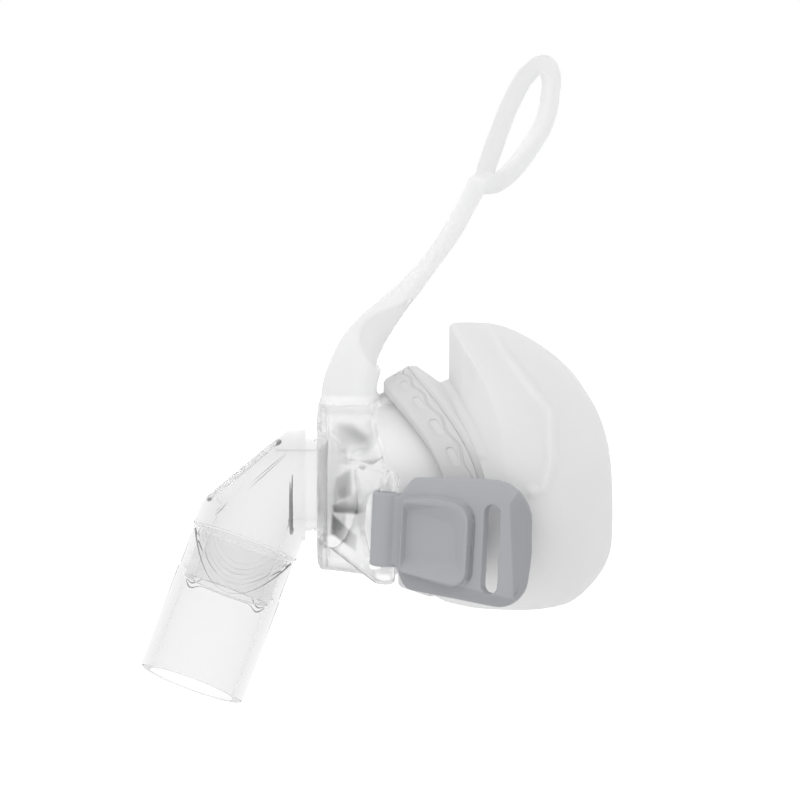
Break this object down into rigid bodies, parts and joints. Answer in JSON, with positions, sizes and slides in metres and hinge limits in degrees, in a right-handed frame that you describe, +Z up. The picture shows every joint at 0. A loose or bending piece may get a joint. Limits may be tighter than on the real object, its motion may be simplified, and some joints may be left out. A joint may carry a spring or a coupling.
{
  "type": "nasal cpap mask",
  "caption": "Nasal breathing mask with a clear frame and forehead stem, a soft silicone seal, grey headgear clips and a vented swivel elbow.",
  "frame": {"origin": "middle of the nose opening, level with the axis on which the elbow turns", "axes": "+Z up towards the forehead loops, -Y to the front away from the face, +X to the wearer's left"},
  "size_m": [0.0832, 0.0951, 0.1322],
  "materials": {
    "clear_polycarbonate": "clear and polished",
    "milky_ring": "translucent satin",
    "silicone": "translucent satin",
    "grey_nylon": "fine satin"
  },
  "bodies": {
    "mask": {"frame": "clear_polycarbonate", "seal_ring": "milky_ring", "seal": "silicone"},
    "elbow": {"elbow": "clear_polycarbonate", "vent_cover": "clear_polycarbonate"},
    "tube": {"swivel_tube": "clear_polycarbonate"},
    "left_clip": {"left_clip": "grey_nylon"},
    "right_clip": {"right_clip": "grey_nylon"}
  },
  "joints": [
    {"name": "elbow_swivel", "type": "hinge", "parent": "mask", "child": "elbow", "pos_m": [0, -0.047, 0], "axis": [0, 1, 0], "continuous": true},
    {"name": "tube_swivel", "type": "hinge", "parent": "elbow", "child": "tube", "pos_m": [0, -0.06755, -0.02003], "axis": [0, -0.3518, -0.9361], "continuous": true},
    {"name": "left_clip_swing", "type": "hinge", "parent": "mask", "child": "left_clip", "pos_m": [0.027, -0.0352, -0.0067], "axis": [-0.0213, -0.0478, -0.9986], "range_deg": [-4, 35]},
    {"name": "right_clip_swing", "type": "hinge", "parent": "mask", "child": "right_clip", "pos_m": [-0.027, -0.0352, -0.0067], "axis": [-0.0213, 0.0478, 0.9986], "range_deg": [-4, 35]}
  ]
}
